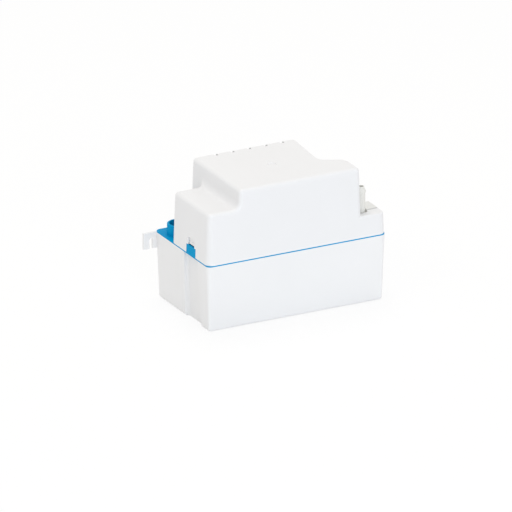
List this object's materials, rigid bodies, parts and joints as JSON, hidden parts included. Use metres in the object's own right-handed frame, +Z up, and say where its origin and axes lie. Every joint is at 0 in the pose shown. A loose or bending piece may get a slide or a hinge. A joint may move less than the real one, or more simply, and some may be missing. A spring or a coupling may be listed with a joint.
{
  "type": "condensate pump",
  "caption": "Tank condensate pump: tapered tank, lift-out deck carrying motor, pump, float switch and check valve, and a stepped vented cover.",
  "frame": {"origin": "middle of the tank's underside, below the centre of its outline with the wall ears", "axes": "+X along the length towards the discharge end, +Y towards the wall side, +Z up"},
  "size_m": [0.2294, 0.116, 0.146],
  "materials": {
    "housing_white": "satin injection-moulded white",
    "tank_white": "fine-grained white moulding",
    "deck_blue": "semi-gloss blue moulding",
    "natural_plastic": "natural acetal or nylon",
    "grey_plastic": "light grey moulding",
    "black_plastic": "black glass-filled nylon",
    "pump_plastic": "dark grey moulded polymer",
    "cast_zinc": "as-cast zinc alloy",
    "lamination_steel": "stacked electrical steel",
    "shaft_steel": "ground stainless steel",
    "sintered_bronze": "oil-soaked sintered bronze",
    "winding_copper": "enamelled copper wire under tape",
    "rubber_black": "matt rubber",
    "float_foam": "welded polypropylene"
  },
  "bodies": {
    "reservoir": {"tank": "tank_white"},
    "cover_shell": {"cover": "housing_white"},
    "blanking_plug": {"inlet_plug": "deck_blue"},
    "rotor": {"rotor_core": "lamination_steel", "motor_shaft": "shaft_steel", "cooling_fan": "black_plastic", "impeller": "natural_plastic", "slinger": "rubber_black"},
    "float_assembly": {"float": "float_foam", "float_rod": "shaft_steel", "rod_collars": "black_plastic"},
    "lever": {"float_lever": "natural_plastic"},
    "run_button": {"run_plunger": "natural_plastic"},
    "alarm_button": {"alarm_plunger": "natural_plastic"},
    "check_ball": {"valve_ball": "rubber_black"},
    "pump_head": {"alarm_switch": "black_plastic", "cable_gland": "black_plastic", "cable_outlet": "grey_plastic", "coil_former": "natural_plastic", "coil_winding": "winding_copper", "deck": "deck_blue", "discharge_spigot": "natural_plastic", "lever_pin": "shaft_steel", "lower_bearing": "sintered_bronze", "lower_bearing_bracket": "cast_zinc", "motor_grommets": "rubber_black", "motor_screws": "shaft_steel", "pump_column": "pump_plastic", "riser_pipe": "pump_plastic", "run_switch": "black_plastic", "stator_stack": "lamination_steel", "strainer": "deck_blue", "suction_plate": "pump_plastic", "switch_bracket": "cast_zinc", "terminal_block": "natural_plastic", "upper_bearing": "sintered_bronze", "upper_bearing_bracket": "cast_zinc", "valve_body": "pump_plastic", "volute_housing": "pump_plastic"}
  },
  "joints": [
    {"name": "head_lift", "type": "slide", "parent": "reservoir", "child": "pump_head", "axis": [0, 0, 1], "range_m": [0, 0.075]},
    {"name": "cover_lift", "type": "slide", "parent": "pump_head", "child": "cover_shell", "axis": [0, 0, 1], "range_m": [0, 0.08]},
    {"name": "plug_lift", "type": "slide", "parent": "pump_head", "child": "blanking_plug", "axis": [0, 0, 1], "range_m": [0, 0.015]},
    {"name": "rotor_spin", "type": "hinge", "parent": "pump_head", "child": "rotor", "pos_m": [0, 0.006, 0.1], "axis": [0, 0, 1], "continuous": true},
    {"name": "float_rise", "type": "slide", "parent": "pump_head", "child": "float_assembly", "axis": [0, 0, 1], "range_m": [0, 0.014]},
    {"name": "lever_swing", "type": "hinge", "parent": "pump_head", "child": "lever", "pos_m": [-0.066, -0.03, 0.087], "axis": [1, 0, 0], "range_deg": [0, 21]},
    {"name": "run_press", "type": "slide", "parent": "pump_head", "child": "run_button", "axis": [0, 0, 1], "range_m": [0, 0.0018]},
    {"name": "alarm_press", "type": "slide", "parent": "pump_head", "child": "alarm_button", "axis": [0, 0, 1], "range_m": [0, 0.0009]},
    {"name": "ball_lift", "type": "slide", "parent": "pump_head", "child": "check_ball", "axis": [0, 0, 1], "range_m": [0, 0.0025]}
  ],
  "couplings": [
    {"joint": "lever_swing", "follows": "float_rise", "rad_per_m": 26.024},
    {"joint": "run_press", "follows": "float_rise", "ratio": 0.124},
    {"joint": "alarm_press", "follows": "float_rise", "ratio": 0.056}
  ]
}
